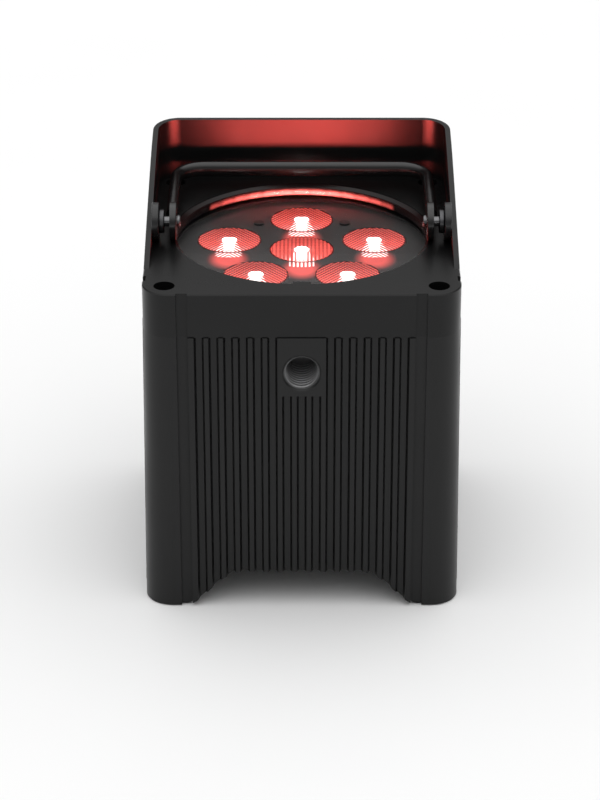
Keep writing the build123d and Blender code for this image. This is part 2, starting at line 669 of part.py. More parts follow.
# -------------------------------------------------------- sockets and switch
def socket_body(x, y, depth):
    with BuildSketch(Plane.XY.offset(Z_BASE)) as flange:
        with Locations((x, y)):
            RectangleRounded(26, 31, 3)
    extrude(flange.sketch, amount=-2.5)
    with BuildSketch(Plane.XY.offset(Z_BASE)) as barrel:
        with Locations((x, y)):
            Circle(12)
    extrude(barrel.sketch, amount=depth)


with BuildPart() as power_inlet:
    socket_body(*INLET, 24)
    with BuildSketch(Plane.XY.offset(Z_BASE - 3)):
        with Locations(INLET):
            Circle(9.6)
            Circle(5.4, mode=Mode.SUBTRACT)
    extrude(amount=16, mode=Mode.SUBTRACT)
power_inlet.part.label = "power_inlet"
export_step(power_inlet.part, "parts/power_inlet.step")

with BuildPart() as dmx_in_socket:
    socket_body(*DMX_IN, 20)
    with BuildSketch(Plane.XY.offset(Z_BASE - 3)):
        with Locations(DMX_IN):
            Circle(9.4)
    extrude(amount=15, mode=Mode.SUBTRACT)
    with BuildSketch(Plane.XY.offset(Z_BASE + 12)):
        with Locations(DMX_IN):
            with PolarLocations(4.2, 3, start_angle=90):
                Circle(1.2)
    extrude(amount=-12)
dmx_in_socket.part.label = "dmx_in_socket"
export_step(dmx_in_socket.part, "parts/dmx_in_socket.step")

with BuildPart() as dmx_out_socket:
    socket_body(*DMX_OUT, 20)
    with BuildSketch(Plane.XY.offset(Z_BASE - 3)):
        with Locations(DMX_OUT):
            Circle(9.4)
            Circle(7.6, mode=Mode.SUBTRACT)
            with PolarLocations(4.2, 3, start_angle=90):
                Circle(1.4)
    extrude(amount=12, mode=Mode.SUBTRACT)
dmx_out_socket.part.label = "dmx_out_socket"
export_step(dmx_out_socket.part, "parts/dmx_out_socket.step")

with BuildPart() as switch_bezel:
    with BuildSketch(Plane.XY.offset(Z_BASE)):
        with Locations(SWITCH):
            RectangleRounded(16, 22, 1.5)
    extrude(amount=-1.6)
    with BuildSketch(Plane.XY.offset(Z_BASE)):
        with Locations(SWITCH):
            Rectangle(13, 19)
    extrude(amount=14)
    with BuildSketch(Plane.XY.offset(Z_BASE - 2)):
        with Locations(SWITCH):
            Rectangle(10.4, 16.4)
    extrude(amount=13.5, mode=Mode.SUBTRACT)
switch_bezel.part.label = "switch_bezel"
export_step(switch_bezel.part, "parts/switch_bezel.step")

ROCK_Z = Z_BASE + 5.0
ROCK_TILT = 9.0
with BuildPart() as switch_rocker:
    with BuildSketch(Plane.YZ.offset(SWITCH[0] - 4.8)):
        with BuildLine():
            # wedge seen along X, wider face down, tilted to the off position
            def rp(u, v):
                t = radians(ROCK_TILT)
                return (SWITCH[1] + u * cos(t) - v * sin(t), ROCK_Z + u * sin(t) + v * cos(t))
            Polyline(rp(-7.1, -5.6), rp(0, -7.0), rp(7.1, -5.6), rp(5.2, -1.0), rp(2.6, 2.4), rp(-2.6, 2.4),
                     rp(-5.2, -1.0), close=True)
        make_face()
    extrude(amount=9.6)
switch_rocker.part.label = "switch_rocker"
export_step(switch_rocker.part, "parts/switch_rocker.step")

# ------------------------------------------------------------ battery, driver
with BuildPart() as battery_pack:
    with BuildSketch(Plane.XY.offset(Z_BASE + BASE_T + 0.1)):
        with Locations((0, -34)):
            RectangleRounded(76, 44, 4)
    extrude(amount=36)
    fillet(battery_pack.edges().group_by(Axis.Z)[-1], 2)
battery_pack.part.label = "battery_pack"
export_step(battery_pack.part, "parts/battery_pack.step")

with BuildPart() as battery_bracket:
    zt = Z_BASE + BASE_T + 36.2
    with BuildSketch(Plane.XZ.offset(22)):
        with BuildLine():
            Polyline((-50, Z_BASE + BASE_T), (-38.6, Z_BASE + BASE_T), (-38.6, zt), (38.6, zt), (38.6, Z_BASE + BASE_T),
                     (50, Z_BASE + BASE_T), (50, Z_BASE + BASE_T + 1.5), (40.1, Z_BASE + BASE_T + 1.5), (40.1, zt + 1.5),
                     (-40.1, zt + 1.5), (-40.1, Z_BASE + BASE_T + 1.5), (-50, Z_BASE + BASE_T + 1.5), close=True)
        make_face()
    extrude(amount=24)
    # keep the strap feet clear of the vent and the antenna nut
    with BuildSketch(Plane.XY.offset(Z_BASE + BASE_T - 1)):
        with Locations(VENT, ANT):
            Circle(7)
    extrude(amount=4, mode=Mode.SUBTRACT)
battery_bracket.part.label = "battery_bracket"
export_step(battery_bracket.part, "parts/battery_bracket.step")

STAND = [(56, 2), (-56, 2), (56, 48), (-56, 48)]
Z_DRV = 76.0
with BuildPart() as driver_standoffs:
    with BuildSketch(Plane.XY.offset(Z_BASE + BASE_T)):
        with Locations(*STAND):
            RegularPolygon(3, 6)
    extrude(amount=Z_DRV - Z_BASE - BASE_T)
driver_standoffs.part.label = "driver_standoffs"
export_step(driver_standoffs.part, "parts/driver_standoffs.step")

with BuildPart() as driver_board:
    with BuildSketch(Plane.XY.offset(Z_DRV)):
        with Locations((0, 25)):
            RectangleRounded(120, 54, 2)
    extrude(amount=1.6)
driver_board.part.label = "driver_board"
export_step(driver_board.part, "parts/driver_board.step")

with BuildPart() as driver_components:
    with BuildSketch(Plane.XY.offset(Z_DRV + 1.6)):
        with Locations((-34, 30)):
            RectangleRounded(30, 24, 2)
        with Locations((10, 36)):
            RectangleRounded(22, 16, 1)
        with Locations((10, 12)):
            Rectangle(34, 5)
    extrude(amount=15)
    with BuildSketch(Plane.XY.offset(Z_DRV + 1.6)):
        with Locations((-8, 38), (-8, 24), (38, 40)):
            Circle(5)
    extrude(amount=17)
    with BuildSketch(Plane.XY.offset(Z_DRV + 1.6)):
        with Locations((-40, 6), (-22, 6), (40, 24)):
            Rectangle(12, 7)
    extrude(amount=7)
driver_components.part.label = "driver_components"
export_step(driver_components.part, "parts/driver_components.step")

with BuildPart() as radio_module:
    with BuildSketch(Plane.XY.offset(Z_DRV + 1.6)):
        with Locations((42, 8)):
            Rectangle(24, 14)
    extrude(amount=3.0)
radio_module.part.label = "radio_module"
export_step(radio_module.part, "parts/radio_module.step")

# -------------------------------------------------------------- control panel
BUTTONS = [(-19.5, PANEL_Z - 11.5), (-6.5, PANEL_Z - 11.5), (6.5, PANEL_Z - 11.5), (19.5, PANEL_Z - 11.5)]
PANEL_SCREWS = [(28.3, PANEL_Z + 22), (-28.3, PANEL_Z + 22), (28.3, PANEL_Z - 22), (-28.3, PANEL_Z - 22)]
WIN = (0, PANEL_Z + 7)


def back(y):
    """Plane facing the back; local x runs to -X, local y up, at height y."""
    return Plane(origin=(0, y, 0), x_dir=(-1, 0, 0), z_dir=(0, 1, 0))


with BuildPart() as control_panel:
    with BuildSketch(back(74.6)):
        with Locations((0, PANEL_Z)):
            RectangleRounded(62, 50, 3)
        with Locations(WIN):
            RectangleRounded(30, 15, 1, mode=Mode.SUBTRACT)
        with Locations(*BUTTONS):
            Circle(4.9, mode=Mode.SUBTRACT)
        with Locations(*PANEL_SCREWS):
            Circle(1.25, mode=Mode.SUBTRACT)
    extrude(amount=1.6)
    with BuildSketch(back(74.6)):
        with Locations((23.3, PANEL_Z + 2), (-23.3, PANEL_Z + 2)):
            Circle(2)
    extrude(amount=-7.0)
    chamfer(control_panel.edges().group_by(Axis.Y)[-1].filter_by(GeomType.LINE).sort_by(Axis.Z)[-1:], 0.3)
control_panel.part.label = "control_panel"
export_step(control_panel.part, "parts/control_panel.step")

with BuildPart() as control_panel_gasket:
    with BuildSketch(back(74.2)):
        with Locations((0, PANEL_Z)):
            RectangleRounded(61, 49, 2.6)
            RectangleRounded(53, 39, 2, mode=Mode.SUBTRACT)
        with Locations(*PANEL_SCREWS):
            Circle(1.4, mode=Mode.SUBTRACT)
    extrude(amount=0.4)
control_panel_gasket.part.label = "control_panel_gasket"
export_step(control_panel_gasket.part, "parts/control_panel_gasket.step")

with BuildPart() as control_panel_screws:
    with BuildSketch(back(76.2)):
        with Locations(*PANEL_SCREWS):
            Circle(2.2)
    extrude(amount=1.2)
    with BuildSketch(back(76.2)):
        with Locations(*PANEL_SCREWS):
            Circle(1.1)
    extrude(amount=-4.6)
control_panel_screws.part.label = "control_panel_screws"
export_step(control_panel_screws.part, "parts/control_panel_screws.step")

with BuildPart() as display_window:
    with BuildSketch(back(73.4)):
        with Locations(WIN):
            RectangleRounded(34, 19, 1)
    extrude(amount=1.2)
display_window.part.label = "display_window"
export_step(display_window.part, "parts/display_window.step")

with BuildPart() as display_module:
    with BuildSketch(back(69.2)):
        with Locations(WIN):
            Rectangle(34, 19)
    extrude(amount=4.2)
display_module.part.label = "display_module"
export_step(display_module.part, "parts/display_module.step")

with BuildPart() as control_board:
    with BuildSketch(back(66.0)):
        with Locations((0, PANEL_Z)):
            RectangleRounded(51, 37, 1)
    extrude(amount=1.6)
control_board.part.label = "control_board"
export_step(control_board.part, "parts/control_board.step")

with BuildPart() as display_spacer:
    with BuildSketch(back(67.6)):
        with Locations(WIN):
            Rectangle(30, 12)
    extrude(amount=1.6)
display_spacer.part.label = "display_spacer"
export_step(display_spacer.part, "parts/display_spacer.step")

with BuildPart() as tact_switches:
    with BuildSketch(back(67.6)):
        with Locations(*BUTTONS):
            Rectangle(6, 6)
    extrude(amount=3.4)
    with BuildSketch(back(71.0)):
        with Locations(*BUTTONS):
            Circle(1.6)
    extrude(amount=0.8)
tact_switches.part.label = "tact_switches"
export_step(tact_switches.part, "parts/tact_switches.step")


def button_at(x, z):
    with BuildPart() as b:
        with BuildSketch(back(73.2)):
            with Locations((x, z)):
                Circle(5.4)
        extrude(amount=1.0)
        with BuildSketch(back(74.2)):
            with Locations((x, z)):
                Circle(4.6)
        extrude(amount=3.1)
        fillet(b.edges().group_by(Axis.Y)[-1], 0.6)
    return b


menu_button = button_at(*BUTTONS[0])
menu_button.part.label = "menu_button"
export_step(menu_button.part, "parts/menu_button.step")
down_button = button_at(*BUTTONS[1])
down_button.part.label = "down_button"
export_step(down_button.part, "parts/down_button.step")
up_button = button_at(*BUTTONS[2])
up_button.part.label = "up_button"
export_step(up_button.part, "parts/up_button.step")
enter_button = button_at(*BUTTONS[3])
enter_button.part.label = "enter_button"
export_step(enter_button.part, "parts/enter_button.step")
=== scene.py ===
import math

import bmesh
import bpy
from mathutils import Matrix, Vector


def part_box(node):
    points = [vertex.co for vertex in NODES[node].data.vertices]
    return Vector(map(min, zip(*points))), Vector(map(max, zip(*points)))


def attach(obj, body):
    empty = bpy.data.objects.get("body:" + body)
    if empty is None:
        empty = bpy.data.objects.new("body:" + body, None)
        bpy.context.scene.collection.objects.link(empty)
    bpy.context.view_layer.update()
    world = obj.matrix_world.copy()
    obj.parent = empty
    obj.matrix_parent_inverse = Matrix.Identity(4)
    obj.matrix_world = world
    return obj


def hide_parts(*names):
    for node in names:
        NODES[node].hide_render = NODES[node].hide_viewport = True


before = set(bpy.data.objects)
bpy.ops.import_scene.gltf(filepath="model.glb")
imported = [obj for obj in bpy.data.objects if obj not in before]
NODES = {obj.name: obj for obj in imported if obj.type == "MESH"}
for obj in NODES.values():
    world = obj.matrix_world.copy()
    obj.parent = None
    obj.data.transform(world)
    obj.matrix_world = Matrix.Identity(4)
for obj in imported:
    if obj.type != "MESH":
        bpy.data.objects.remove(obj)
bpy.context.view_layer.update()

MM = 0.001

# ------------------------------------------------------------------ node helpers


class Mat:
    """A small wrapper that builds one node-based material."""

    def __init__(self, name):
        self.m = bpy.data.materials.new(name)
        self.m.use_nodes = True
        self.nt = self.m.node_tree
        self.nt.nodes.clear()
        self.out = self.nt.nodes.new("ShaderNodeOutputMaterial")
        self.tc = self.nt.nodes.new("ShaderNodeTexCoord")

    def node(self, kind, **props):
        n = self.nt.nodes.new(kind)
        for k, v in props.items():
            setattr(n, k, v)
        return n

    def link(self, a, b):
        self.nt.links.new(a, b)

    def put(self, sock, v):
        if isinstance(v, bpy.types.NodeSocket):
            self.link(v, sock)
        else:
            sock.default_value = v

    def math(self, op, a, b=0.0, c=None, clamp=False):
        n = self.node("ShaderNodeMath", operation=op, use_clamp=clamp)
        self.put(n.inputs[0], a)
        self.put(n.inputs[1], b)
        if c is not None:
            self.put(n.inputs[2], c)
        return n.outputs[0]

    def xyz(self, src=None):
        n = self.node("ShaderNodeSeparateXYZ")
        self.link(src or self.tc.outputs["Object"], n.inputs[0])
        return n.outputs

    def noise(self, scale, detail=3.0, rough=0.55, stretch=None):
        v = self.tc.outputs["Object"]
        if stretch:
            mp = self.node("ShaderNodeMapping")
            mp.inputs["Scale"].default_value = stretch
            self.link(v, mp.inputs["Vector"])
            v = mp.outputs[0]
        n = self.node("ShaderNodeTexNoise")
        self.link(v, n.inputs["Vector"])
        n.inputs["Scale"].default_value = scale
        n.inputs["Detail"].default_value = detail
        n.inputs["Roughness"].default_value = rough
        return n.outputs["Fac"]

    def ramp(self, fac, stops):
        n = self.node("ShaderNodeValToRGB")
        cr = n.color_ramp
        while len(cr.elements) < len(stops):
            cr.elements.new(0.5)
        for e, (p, c) in zip(cr.elements, stops):
            e.position = p
            e.color = (*c, 1.0) if len(c) == 3 else c
        self.link(fac, n.inputs[0])
        return n.outputs[0]

    def band(self, v, lo, hi, soft):
        """1 between lo and hi, falling to 0 over soft on both sides."""
        a = self.smooth(v, lo - soft, lo)
        b = self.smooth(v, hi, hi + soft)
        return self.math("MULTIPLY", a, self.math("SUBTRACT", 1.0, b))

    def smooth(self, v, lo, hi, to=(0.0, 1.0)):
        n = self.node("ShaderNodeMapRange", interpolation_type="SMOOTHSTEP")
        self.put(n.inputs["Value"], v)
        n.inputs["From Min"].default_value = lo
        n.inputs["From Max"].default_value = hi
        n.inputs["To Min"].default_value = to[0]
        n.inputs["To Max"].default_value = to[1]
        return n.outputs[0]

    def mix(self, fac, a, b):
        n = self.node("ShaderNodeMix", data_type="RGBA")
        self.put(n.inputs[0], fac)
        self.put(n.inputs[6], (*a, 1.0) if isinstance(a, tuple) else a)
        self.put(n.inputs[7], (*b, 1.0) if isinstance(b, tuple) else b)
        return n.outputs[2]

    def bump(self, height, strength, dist):
        n = self.node("ShaderNodeBump")
        n.inputs["Strength"].default_value = strength
        n.inputs["Distance"].default_value = dist
        self.link(height, n.inputs["Height"])
        return n.outputs[0]

    def principled(self, color, rough, metal=0.0, normal=None, spec=0.5, ior=1.5, coat=0.0, coat_rough=0.1,
                   emission=None, strength=1.0, transmission=0.0, to_output=True):
        p = self.node("ShaderNodeBsdfPrincipled")
        self.put(p.inputs["Base Color"], (*color, 1.0) if isinstance(color, tuple) else color)
        self.put(p.inputs["Roughness"], rough)
        self.put(p.inputs["Metallic"], metal)
        p.inputs["IOR"].default_value = ior
        p.inputs["Specular IOR Level"].default_value = spec
        p.inputs["Coat Weight"].default_value = coat
        p.inputs["Coat Roughness"].default_value = coat_rough
        p.inputs["Transmission Weight"].default_value = transmission
        if normal is not None:
            self.link(normal, p.inputs["Normal"])
        if emission is not None:
            self.put(p.inputs["Emission Color"], (*emission, 1.0) if isinstance(emission, tuple) else emission)
            self.put(p.inputs["Emission Strength"], strength)
        if to_output:
            self.link(p.outputs[0], self.out.inputs[0])
        return p


def powder_coat(name, base=(0.0042, 0.0042, 0.0043), rough=0.36, grain=2600.0, spec=0.31, depth=0.00003):
    """Fine black powder coat: orange-peel grain, slight cloudiness, rougher where the grain is high."""
    m = Mat(name)
    fine = m.noise(grain, 2.0, 0.6)
    peel = m.noise(grain * 0.28, 2.0, 0.5)
    cloud = m.noise(26.0, 3.0, 0.5)
    h = m.math("ADD", m.math("MULTIPLY", fine, 0.65), m.math("MULTIPLY", peel, 0.5))
    tone = m.math("ADD", m.math("MULTIPLY", fine, 0.35), m.math("MULTIPLY", cloud, 0.65))
    dark = tuple(c * 0.74 for c in base)
    light = tuple(c * 1.30 for c in base)
    col = m.ramp(tone, [(0.30, dark), (0.70, light)])
    r = m.smooth(m.math("ADD", m.math("MULTIPLY", fine, 0.4), m.math("MULTIPLY", cloud, 0.6)), 0.3, 0.7,
                 (rough - 0.06, rough + 0.07))
    m.principled(col, r, normal=m.bump(h, 0.35, depth), spec=spec)
    return m.m


def plastic(name, base, rough=0.42, grain=3800.0, spec=0.4, depth=0.000015, strength=0.25):
    """Moulded plastic or rubber: fine texture and a little tone variation."""
    m = Mat(name)
    fine = m.noise(grain, 2.0, 0.5)
    cloud = m.noise(60.0, 3.0, 0.5)
    col = m.ramp(cloud, [(0.3, tuple(c * 0.85 for c in base)), (0.7, tuple(min(1.0, c * 1.15) for c in base))])
    r = m.smooth(cloud, 0.3, 0.7, (rough - 0.05, rough + 0.05))
    m.principled(col, r, normal=m.bump(fine, strength, depth), spec=spec)
    return m.m


def metal(name, base, rough=0.28, stretch=(1.0, 1.0, 14.0), scale=900.0, depth=0.00001):
    """Machined or plated metal with fine directional marks."""
    m = Mat(name)
    marks = m.noise(scale, 3.0, 0.6, stretch)
    cloud = m.noise(120.0, 2.0, 0.5)
    col = m.ramp(marks, [(0.3, tuple(c * 0.86 for c in base)), (0.7, tuple(min(1.0, c * 1.08) for c in base))])
    r = m.smooth(cloud, 0.3, 0.7, (rough - 0.06, rough + 0.08))
    m.principled(col, r, 1.0, normal=m.bump(marks, 0.2, depth))
    return m.m


def give(mat, *names):
    for n in names:
        o = NODES[n]
        o.data.materials.clear()
        o.data.materials.append(mat)


# --------------------------------------------------------------- measures (metres)
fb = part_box("top_frame")
H = 0.1667                                   # height of the top face
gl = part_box("cover_glass")
Z_GLASS = gl[1].z
Z_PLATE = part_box("lens_plate")[1].z
LENSES = {}
for n in ("lens_centre", "lens_back", "lens_left_rear", "lens_left_front", "lens_right_front", "lens_right_rear"):
    lo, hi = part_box(n)
    LENSES[n] = ((lo.x + hi.x) / 2, (lo.y + hi.y) / 2, (hi.x - lo.x) / 2, lo.z, hi.z)
RED = (1.0, 0.130, 0.108)

# ---------------------------------------------------------------------- materials
coat = powder_coat("powder_coat_black")
give(coat, "housing")


def frame_material():
    """The frame's powder coat, with the smoother machined rim round the opening."""
    m = Mat("powder_coat_frame")
    base = (0.0046, 0.0046, 0.0047)
    fine = m.noise(2600.0, 2.0, 0.6)
    peel = m.noise(730.0, 2.0, 0.5)
    cloud = m.noise(26.0, 3.0, 0.5)
    x, y, z = m.xyz()
    r = m.math("SQRT", m.math("ADD", m.math("MULTIPLY", x, x), m.math("MULTIPLY", y, y)))
    rim = m.band(r, 0.0606, 0.0632, 0.0004)
    h = m.math("ADD", m.math("MULTIPLY", fine, 0.65), m.math("MULTIPLY", peel, 0.5))
    tone = m.math("ADD", m.math("MULTIPLY", fine, 0.35), m.math("MULTIPLY", cloud, 0.65))
    col = m.ramp(tone, [(0.30, tuple(c * 0.74 for c in base)), (0.70, tuple(c * 1.30 for c in base))])
    rough = m.smooth(m.math("ADD", m.math("MULTIPLY", fine, 0.4), m.math("MULTIPLY", cloud, 0.6)), 0.3, 0.7, (0.27, 0.35))
    rough = m.math("SUBTRACT", rough, m.math("MULTIPLY", rim, 0.12))
    m.principled(col, rough, normal=m.bump(h, 0.35, 0.00003), spec=0.26)
    return m.m


give(frame_material(), "top_frame")


def handle_material():
    """Semi-gloss black paint over steel bar: slight flow marks, soft highlight."""
    m = Mat("handle_paint")
    flow = m.noise(90.0, 2.0, 0.5)
    fine = m.noise(5200.0, 2.0, 0.5)
    col = m.ramp(flow, [(0.3, (0.0030, 0.0030, 0.0031)), (0.7, (0.0046, 0.0046, 0.0047))])
    r = m.smooth(flow, 0.3, 0.7, (0.20, 0.26))
    m.principled(col, r, normal=m.bump(fine, 0.05, 0.00001), spec=0.60)
    return m.m


give(handle_material(), "carry_handle")
give(plastic("pad_nylon", (0.009, 0.009, 0.010), 0.26, spec=0.5), "handle_friction_pads")
give(metal("lock_nut_steel", (0.10, 0.10, 0.105), 0.34), "handle_lock_nuts")
give(metal("pivot_steel", (0.16, 0.16, 0.165), 0.24), "handle_pivot_screws")
give(plastic("frame_screw_oxide", (0.020, 0.020, 0.021), 0.36, spec=0.6), "frame_screws")
give(plastic("small_screw_oxide", (0.05, 0.05, 0.052), 0.32, spec=0.7), "base_screws", "control_panel_screws")
give(plastic("plate_screw_black", (0.012, 0.012, 0.012), 0.38, spec=0.25), "lens_plate_screws")
give(plastic("seal_black", (0.006, 0.006, 0.006), 0.75, spec=0.2), "glass_gasket", "frame_gasket", "base_gasket", "control_panel_gasket")
give(plastic("foot_rubber", (0.018, 0.018, 0.018), 0.78, grain=1500.0, spec=0.3), "foot_pads")
give(plastic("inner_black", (0.016, 0.015, 0.015), 0.45), "glass_spacer_ring", "lens_holders", "display_spacer", "foot_blocks")
give(powder_coat("base_panel_coat", (0.020, 0.020, 0.021), 0.55, 1800.0), "base_panel")
give(plastic("socket_nylon", (0.015, 0.015, 0.016), 0.38), "power_inlet", "dmx_in_socket", "dmx_out_socket", "vent_plug", "radio_antenna")
give(plastic("switch_black", (0.012, 0.012, 0.012), 0.26), "switch_bezel")
give(plastic("control_panel_black", (0.014, 0.014, 0.015), 0.46, grain=2400.0, strength=0.4), "control_panel")
give(plastic("button_rubber", (0.05, 0.05, 0.052), 0.62, grain=1800.0), "menu_button", "down_button", "up_button", "enter_button")
give(metal("plain_aluminium", (0.72, 0.72, 0.73), 0.38), "heat_sink", "heat_sink_posts", "battery_bracket", "inner_frame")
give(metal("zinc_steel", (0.62, 0.62, 0.60), 0.30), "heat_sink_screws", "radio_module")
give(metal("turned_brass", (0.72, 0.53, 0.25), 0.26), "lens_plate_standoffs", "driver_standoffs")
give(plastic("white_mask", (0.80, 0.80, 0.78), 0.35), "led_board")
give(plastic("green_mask", (0.02, 0.16, 0.06), 0.32), "driver_board", "control_board")
give(plastic("component_black", (0.025, 0.025, 0.026), 0.4), "driver_components", "tact_switches", "display_module")
give(plastic("pad_grey", (0.40, 0.41, 0.45), 0.7), "thermal_pad")
give(plastic("battery_wrap", (0.03, 0.10, 0.32), 0.22, spec=0.6), "battery_pack")


def rocker_material():
    """Red rocker with a plain pale dash moulded in one end."""
    m = Mat("rocker_red")
    x, y, z = m.xyz()
    cloud = m.noise(90.0, 2.0, 0.5)
    dash = m.math("MULTIPLY", m.band(m.math("ABSOLUTE", m.math("SUBTRACT", x, 0.046)), -1.0, 0.0006, 0.0001),
                  m.band(y, 0.0225, 0.0255, 0.0001))
    col = m.mix(dash, m.ramp(cloud, [(0.3, (0.30, 0.008, 0.006)), (0.7, (0.42, 0.014, 0.010))]), (0.8, 0.8, 0.78))
    m.principled(col, 0.24, normal=m.bump(m.noise(3000.0), 0.08, 0.00001))
    return m.m


give(rocker_material(), "switch_rocker")


def display_material():
    """Dark display window: a faint cell grid under smoked plastic."""
    m = Mat("display_smoked")
    x, y, z = m.xyz()
    gx = m.math("PINGPONG", m.math("MULTIPLY", x, 1.0), 0.0004)
    gz = m.math("PINGPONG", m.math("MULTIPLY", z, 1.0), 0.0004)
    g = m.math("MULTIPLY", m.smooth(gx, 0.00004, 0.00008), m.smooth(gz, 0.00004, 0.00008))
    col = m.mix(g, (0.004, 0.004, 0.006), (0.008, 0.011, 0.018))
    m.principled(col, 0.08, normal=m.bump(m.noise(500.0), 0.03, 0.00001), spec=0.5)
    return m.m


give(display_material(), "display_window")


def glass_material():
    m = Mat("cover_glass_clear")
    haze = m.noise(40.0, 2.0, 0.5)
    g = m.principled((1.0, 1.0, 1.0), m.smooth(haze, 0.3, 0.7, (0.004, 0.012)), transmission=1.0, ior=1.07, to_output=False)
    t = m.node("ShaderNodeBsdfTransparent")
    lp = m.node("ShaderNodeLightPath")
    mx = m.node("ShaderNodeMixShader")
    m.link(lp.outputs["Is Shadow Ray"], mx.inputs[0])
    m.link(g.outputs[0], mx.inputs[1])
    m.link(t.outputs[0], mx.inputs[2])
    m.link(mx.outputs[0], m.out.inputs[0])
    return m.m


give(glass_material(), "cover_glass")

RIB_X, RIB_Y, RIB_C = 0.00226, 0.00284, 0.00192       # rib spacing across and along each optic


def plate_material():
    """Black lens plate with painted light: red light painted on the plate in front of each lens, and a painted
    reflection of each lens's ribbed core along its front edge.
    """
    m = Mat("lens_plate_black")
    x, y, z = m.xyz()
    fine = m.noise(3000.0, 2.0, 0.5)
    cloud = m.noise(50.0, 3.0, 0.5)
    painted_glow = None
    painted_comb = None
    # painted light: a soft red patch in front of each lens, and a toothed band at the lens's front edge standing in for
    # the reflection of its core
    for node, (cx, cy, r, z0, z1) in LENSES.items():
        dx = m.math("SUBTRACT", x, cx)
        dy = m.math("SUBTRACT", y, cy)
        adx = m.math("ABSOLUTE", dx)
        ex = m.math("DIVIDE", dx, 0.0104)
        ey = m.math("DIVIDE", m.math("ADD", dy, 0.0238), 0.0128)
        d = m.math("SQRT", m.math("ADD", m.math("MULTIPLY", ex, ex), m.math("MULTIPLY", ey, ey)))
        g = m.smooth(d, 0.42, 1.12, (1.0, 0.0))
        painted_glow = g if painted_glow is None else m.math("MAXIMUM", painted_glow, g)
        rr = m.math("SQRT", m.math("ADD", m.math("MULTIPLY", dx, dx), m.math("MULTIPLY", dy, dy)))
        ring = m.band(rr, 0.0163, 0.0212, 0.0005)
        side = m.math("MULTIPLY", m.smooth(adx, 0.0056, 0.0072, (1.0, 0.0)), m.smooth(dy, -0.0130, -0.0120, (1.0, 0.0)))
        if node == "lens_centre":
            p = m.math("DIVIDE", dx, RIB_C)
        else:
            p = m.math("ADD", m.math("DIVIDE", adx, RIB_X), m.math("DIVIDE", dy, RIB_Y))
        teeth = m.smooth(m.math("COSINE", m.math("MULTIPLY", p, 2 * math.pi)), -0.25, 0.55)
        c = m.math("MULTIPLY", m.math("MULTIPLY", ring, side), teeth)
        painted_comb = c if painted_comb is None else m.math("MAXIMUM", painted_comb, c)
    col = m.ramp(cloud, [(0.3, (0.013, 0.013, 0.013)), (0.7, (0.019, 0.018, 0.018))])
    em = m.mix(painted_comb, (1.0, 0.098, 0.082), (1.0, 0.86, 0.83))
    power = m.math("ADD", m.math("MULTIPLY", m.math("POWER", painted_glow, 1.2), 0.92), m.math("MULTIPLY", painted_comb, 0.9))
    power = m.math("MULTIPLY", power, m.smooth(cloud, 0.2, 0.8, (0.9, 1.1)))
    m.principled(col, 0.40, normal=m.bump(fine, 0.2, 0.00001), emission=em, strength=power)
    return m.m


give(plate_material(), "lens_plate")


def emitter_material():
    m = Mat("emitter_red")
    n = m.noise(1500.0, 2.0, 0.5)
    em = m.ramp(n, [(0.3, (1.0, 0.10, 0.07)), (0.7, (1.0, 0.16, 0.12))])
    m.principled((0.9, 0.5, 0.4), 0.3, emission=em, strength=4.0)
    return m.m


give(emitter_material(), "led_emitters")

# ---------------------------------------------------------------------- new pieces


def new_piece(name, bm, mats, body="body"):
    me = bpy.data.meshes.new(name)
    bm.normal_update()
    bm.to_mesh(me)
    bm.free()
    for mt in mats:
        me.materials.append(mt)
    o = bpy.data.objects.new(name, me)
    bpy.context.scene.collection.objects.link(o)
    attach(o, body)
    return o


# ribbed optics ---------------------------------------------------------------
def rib_coord(dx, dy, centre):
    if centre:
        return dx / RIB_C
    return abs(dx) / RIB_X + dy / RIB_Y


